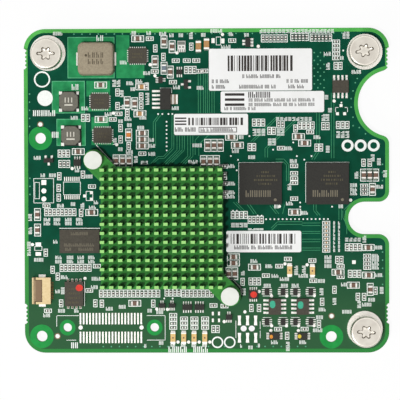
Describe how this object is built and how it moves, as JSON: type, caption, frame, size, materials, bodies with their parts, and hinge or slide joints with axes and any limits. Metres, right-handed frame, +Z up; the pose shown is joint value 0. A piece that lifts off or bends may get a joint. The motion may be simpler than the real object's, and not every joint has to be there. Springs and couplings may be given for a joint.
{
  "type": "mezzanine network card",
  "caption": "Flat plug-in network card: green circuit board with pin-fin heat sink, captive screws, edge notches, small chips and a connector underneath.",
  "frame": {"origin": "under the middle of the board, on the plane of the three sleeve feet", "axes": "+X along the board towards its notched edge, +Y across it, +Z up from the feet to the heat sink"},
  "size_m": [0.1124, 0.1, 0.0193],
  "materials": {
    "solder_mask": "smooth dark green coating over laminate",
    "green_anodised": "bright green anodised",
    "pad_rubber": "soft matt pad",
    "chip_plastic": "moulded, faintly grained",
    "white_plastic": "smooth moulded",
    "spring_steel": "plain drawn wire and stamped ring",
    "tin": "tinned",
    "choke_grey": "pressed powder, grained",
    "choke_dark": "pressed powder, grained",
    "lamp_cream": "clear cream resin",
    "white_ceramic": "matt",
    "cream_plastic": "smooth moulded",
    "brown_plastic": "smooth moulded",
    "contact_gold": "thin gold plating",
    "connector_black": "moulded",
    "plated_steel": "nickel plated",
    "capacitor_brown": "fired, matt",
    "capacitor_tan": "fired, matt",
    "label_paper": "smooth printed paper"
  },
  "bodies": {
    "card": {"circuit_board": "solder_mask", "heat_sink": "green_anodised", "thermal_pad": "pad_rubber", "controller_chip": "chip_plastic", "push_pins": "white_plastic", "push_pin_springs": "spring_steel", "transceiver_left": "chip_plastic", "transceiver_right": "chip_plastic", "memory_chip": "chip_plastic", "flash_chip": "chip_plastic", "flash_legs": "tin", "power_chips": "chip_plastic", "choke_large": "choke_grey", "choke_large_feet": "tin", "chokes_small": "choke_dark", "regulator_body": "chip_plastic", "regulator_tab": "tin", "regulator_legs": "tin", "eight_lead_chips": "chip_plastic", "eight_lead_legs": "tin", "six_lead_chips": "chip_plastic", "small_chips": "chip_plastic", "lamps": "lamp_cream", "fuse": "white_ceramic", "flex_housing": "cream_plastic", "flex_contacts": "contact_gold", "flex_tabs": "tin", "mezzanine_housing": "connector_black", "mezzanine_contacts": "contact_gold", "screw_sleeves": "plated_steel", "medium_capacitors": "capacitor_brown", "tan_capacitors": "capacitor_tan", "large_capacitors": "capacitor_tan", "label_upper": "label_paper", "label_middle": "label_paper", "label_short": "label_paper", "label_lower": "label_paper"},
    "screw_upper_left": {"captive_screw_upper_left": "plated_steel"},
    "screw_upper_right": {"captive_screw_upper_right": "plated_steel"},
    "screw_lower_right": {"captive_screw_lower_right": "plated_steel"},
    "latch": {"flex_latch": "brown_plastic"}
  },
  "joints": [
    {"name": "float_upper_left", "type": "slide", "parent": "card", "child": "screw_upper_left", "axis": [0, 0, 1], "range_m": [-0.0032, 0.0003]},
    {"name": "float_upper_right", "type": "slide", "parent": "card", "child": "screw_upper_right", "axis": [0, 0, 1], "range_m": [-0.0032, 0.0003]},
    {"name": "float_lower_right", "type": "slide", "parent": "card", "child": "screw_lower_right", "axis": [0, 0, 1], "range_m": [-0.0032, 0.0003]},
    {"name": "latch_slide", "type": "slide", "parent": "card", "child": "latch", "axis": [-1, 0, 0], "range_m": [0, 0.0009]}
  ]
}
